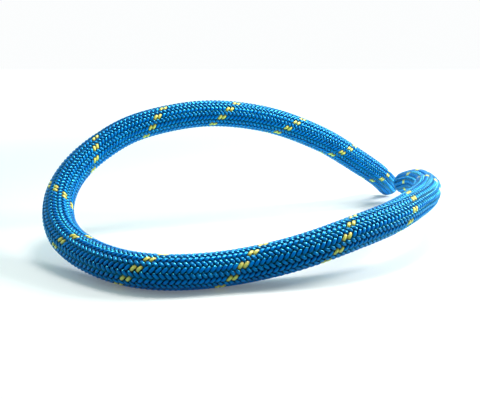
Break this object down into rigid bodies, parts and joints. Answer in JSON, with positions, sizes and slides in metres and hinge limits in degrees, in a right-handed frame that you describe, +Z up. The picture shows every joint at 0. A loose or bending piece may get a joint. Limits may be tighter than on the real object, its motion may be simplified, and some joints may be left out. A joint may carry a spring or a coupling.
{
  "type": "dynamic climbing rope",
  "caption": "Short length of round kernmantle climbing rope with a braided sheath, set in one open raised loop, both ends melted closed.",
  "frame": {"origin": "on the resting plane, under the middle of the loop's bounding box", "axes": "+X right, +Y away from the viewer, +Z up; the loop is open towards +X +Y, with its high arch at the back left"},
  "size_m": [0.1415, 0.1308, 0.0467],
  "materials": {
    "sheath_nylon": "satin",
    "tracer_nylon": "satin",
    "core_nylon": "satin",
    "marker_film": "matte",
    "melted_nylon": "satin"
  },
  "bodies": {
    "root": {"sheath": "sheath_nylon", "tracer_yarn_a": "tracer_nylon", "tracer_yarn_b": "tracer_nylon", "core_strand_01": "core_nylon", "core_strand_02": "core_nylon", "core_strand_03": "core_nylon", "core_strand_04": "core_nylon", "core_strand_05": "core_nylon", "core_strand_06": "core_nylon", "core_strand_07": "core_nylon", "core_strand_08": "core_nylon", "core_strand_09": "core_nylon", "core_strand_10": "core_nylon", "core_strand_11": "core_nylon", "core_strand_12": "core_nylon", "marker_tape": "marker_film", "fused_end_back": "melted_nylon", "fused_end_front": "melted_nylon"}
  },
  "joints": []
}
